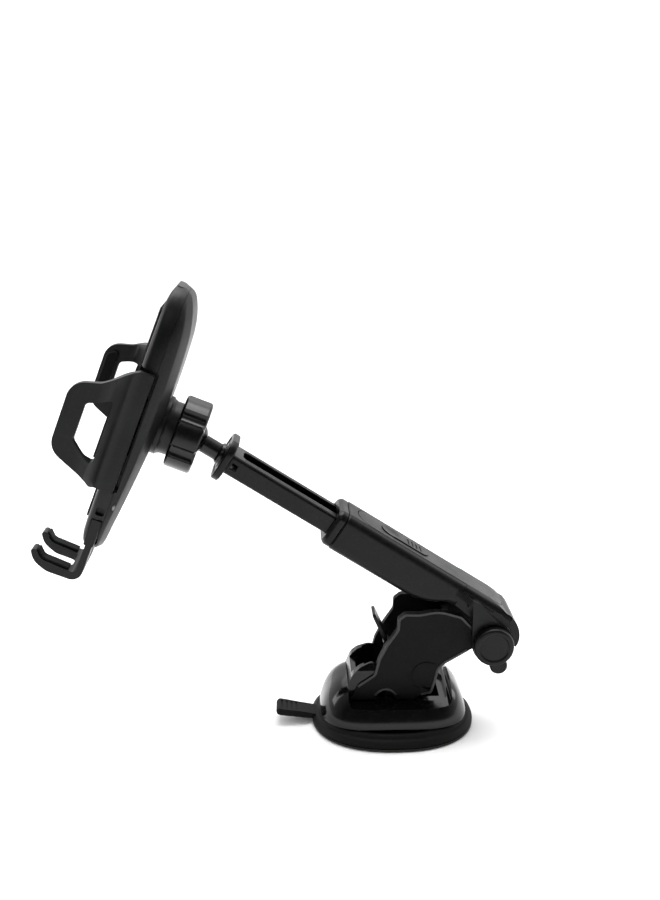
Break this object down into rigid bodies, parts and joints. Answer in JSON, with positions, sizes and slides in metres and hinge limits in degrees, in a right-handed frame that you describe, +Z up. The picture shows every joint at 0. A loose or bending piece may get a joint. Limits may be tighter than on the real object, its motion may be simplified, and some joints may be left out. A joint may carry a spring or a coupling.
{
  "type": "car phone mount",
  "caption": "Suction-base phone mount with a lock lever, pivoting telescoping arm, ball joint and spring-opened side clamps with a foot.",
  "frame": {"origin": "middle of the flat suction face under the base, where the mount sticks to a dashboard", "axes": "+Z up from the suction face; the arm and cradle reach towards -X at rest; Y runs along the arm pivot, and -Y is the side with the pivot knob and the cradle's release button"},
  "size_m": [0.215, 0.082, 0.205],
  "materials": {
    "gel": "smooth tacky gel",
    "cup_rubber": "satin rubber",
    "gloss_shell": "polished black ABS",
    "textured_yoke": "fine spark texture",
    "matte_plastic": "satin black ABS",
    "satin_tube": "smooth satin black",
    "nut_gloss": "glossy black",
    "cradle_plastic": "matte black ABS",
    "pad_rubber": "ribbed soft rubber",
    "nylon": "dark nylon",
    "steel": "dark plated steel",
    "ball_plastic": "smooth black"
  },
  "bodies": {
    "base": {"gel_pad": "gel", "suction_cup": "cup_rubber", "base_housing": "gloss_shell", "base_yoke": "textured_yoke", "lever_axle": "steel", "base_screw_1": "steel", "base_screw_2": "steel", "pivot_bolt": "steel", "pivot_sleeve": "steel"},
    "plunger": {"plunger": "steel", "plunger_pin": "steel"},
    "lock_lever": {"lock_lever": "matte_plastic"},
    "arm": {"outer_tube": "matte_plastic", "rear_cap": "matte_plastic", "tube_collar": "satin_tube", "friction_washer_near": "nylon", "friction_washer_far": "nylon"},
    "pivot_knob": {"pivot_knob": "matte_plastic"},
    "arm_button": {"arm_button": "matte_plastic"},
    "telescope": {"inner_tube": "satin_tube", "guide_shoe": "matte_plastic", "end_flange": "satin_tube", "ball_stud": "ball_plastic"},
    "ball_liner": {"ball_liner": "nylon"},
    "socket_seat": {"socket_seat": "nylon"},
    "cradle": {"back_cover": "cradle_plastic", "front_cover": "cradle_plastic", "front_pad": "pad_rubber", "cradle_screw_1": "steel", "cradle_screw_2": "steel", "cradle_screw_3": "steel", "cradle_screw_4": "steel", "opening_spring": "steel"},
    "collar_nut": {"collar_nut": "nut_gloss"},
    "clamp_near": {"clamp_arm_near": "cradle_plastic", "clamp_pad_near": "pad_rubber"},
    "clamp_far": {"clamp_arm_far": "cradle_plastic", "clamp_pad_far": "pad_rubber"},
    "clamp_pinion": {"clamp_pinion": "nylon"},
    "release_button": {"release_button": "cradle_plastic"},
    "clamp_pawl": {"clamp_pawl": "steel"},
    "foot": {"foot_bracket": "cradle_plastic", "foot_pad_near": "pad_rubber", "foot_pad_far": "pad_rubber"}
  },
  "joints": [
    {"name": "lock_lever_swing", "type": "hinge", "parent": "base", "child": "lock_lever", "pos_m": [0.0147, 0, 0.0268], "axis": [0, -1, 0], "range_deg": [0, 40]},
    {"name": "plunger_lift", "type": "slide", "parent": "base", "child": "plunger", "axis": [0, 0, 1], "range_m": [0, 0.0025]},
    {"name": "arm_pivot", "type": "hinge", "parent": "base", "child": "arm", "pos_m": [0.0435, 0, 0.045], "axis": [0, 1, 0], "range_deg": [-5, 105]},
    {"name": "pivot_knob_turn", "type": "hinge", "parent": "base", "child": "pivot_knob", "pos_m": [0.0435, 0, 0.045], "axis": [0, -1, 0], "range_deg": [-90, 180]},
    {"name": "arm_button_press", "type": "slide", "parent": "arm", "child": "arm_button", "axis": [-0.5446, 0, -0.8387], "range_m": [0, 0.0012], "stiffness_N_per_m": 400, "springref_m": -0.0006},
    {"name": "arm_extension", "type": "slide", "parent": "arm", "child": "telescope", "axis": [-0.8387, 0, 0.5446], "range_m": [-0.033, 0.006]},
    {"name": "ball_tilt", "type": "hinge", "parent": "telescope", "child": "ball_liner", "pos_m": [-0.0905, 0, 0.13977], "axis": [0, 1, 0], "range_deg": [-9, 31]},
    {"name": "ball_yaw", "type": "hinge", "parent": "ball_liner", "child": "socket_seat", "pos_m": [-0.0905, 0, 0.13977], "axis": [0.3746, 0, 0.9272], "range_deg": [-18, 18]},
    {"name": "ball_spin", "type": "hinge", "parent": "socket_seat", "child": "cradle", "pos_m": [-0.0905, 0, 0.13977], "axis": [-0.9272, 0, 0.3746], "continuous": true},
    {"name": "collar_nut_turn", "type": "hinge", "parent": "cradle", "child": "collar_nut", "pos_m": [-0.0905, 0, 0.13977], "axis": [-0.9272, 0, 0.3746], "continuous": true},
    {"name": "clamp_near_slide", "type": "slide", "parent": "cradle", "child": "clamp_near", "axis": [0, -1, 0], "range_m": [-0.008, 0.006]},
    {"name": "clamp_far_slide", "type": "slide", "parent": "cradle", "child": "clamp_far", "axis": [0, 1, 0], "range_m": [-0.008, 0.006]},
    {"name": "clamp_pinion_turn", "type": "hinge", "parent": "cradle", "child": "clamp_pinion", "pos_m": [-0.0905, 0, 0.13977], "axis": [-0.9272, 0, 0.3746], "range_deg": [-58, 77], "deforming": ["opening_spring"]},
    {"name": "release_button_press", "type": "slide", "parent": "cradle", "child": "release_button", "axis": [0, 1, 0], "range_m": [0, 0.0015], "stiffness_N_per_m": 400, "springref_m": -0.0006},
    {"name": "clamp_pawl_turn", "type": "hinge", "parent": "cradle", "child": "clamp_pawl", "pos_m": [-0.11886, -0.002, 0.1275], "axis": [-0.9272, 0, 0.3746], "range_deg": [-10, 0]},
    {"name": "foot_extension", "type": "slide", "parent": "cradle", "child": "foot", "axis": [-0.3746, 0, -0.9272], "range_m": [-0.01, 0.006]}
  ],
  "couplings": [
    {"joint": "lock_lever_swing", "follows": "plunger_lift", "rad_per_m": 279.25},
    {"joint": "clamp_far_slide", "follows": "clamp_near_slide", "ratio": 1},
    {"joint": "clamp_pinion_turn", "follows": "clamp_near_slide", "rad_per_m": -166.67},
    {"joint": "clamp_pawl_turn", "follows": "release_button_press", "rad_per_m": -111}
  ]
}
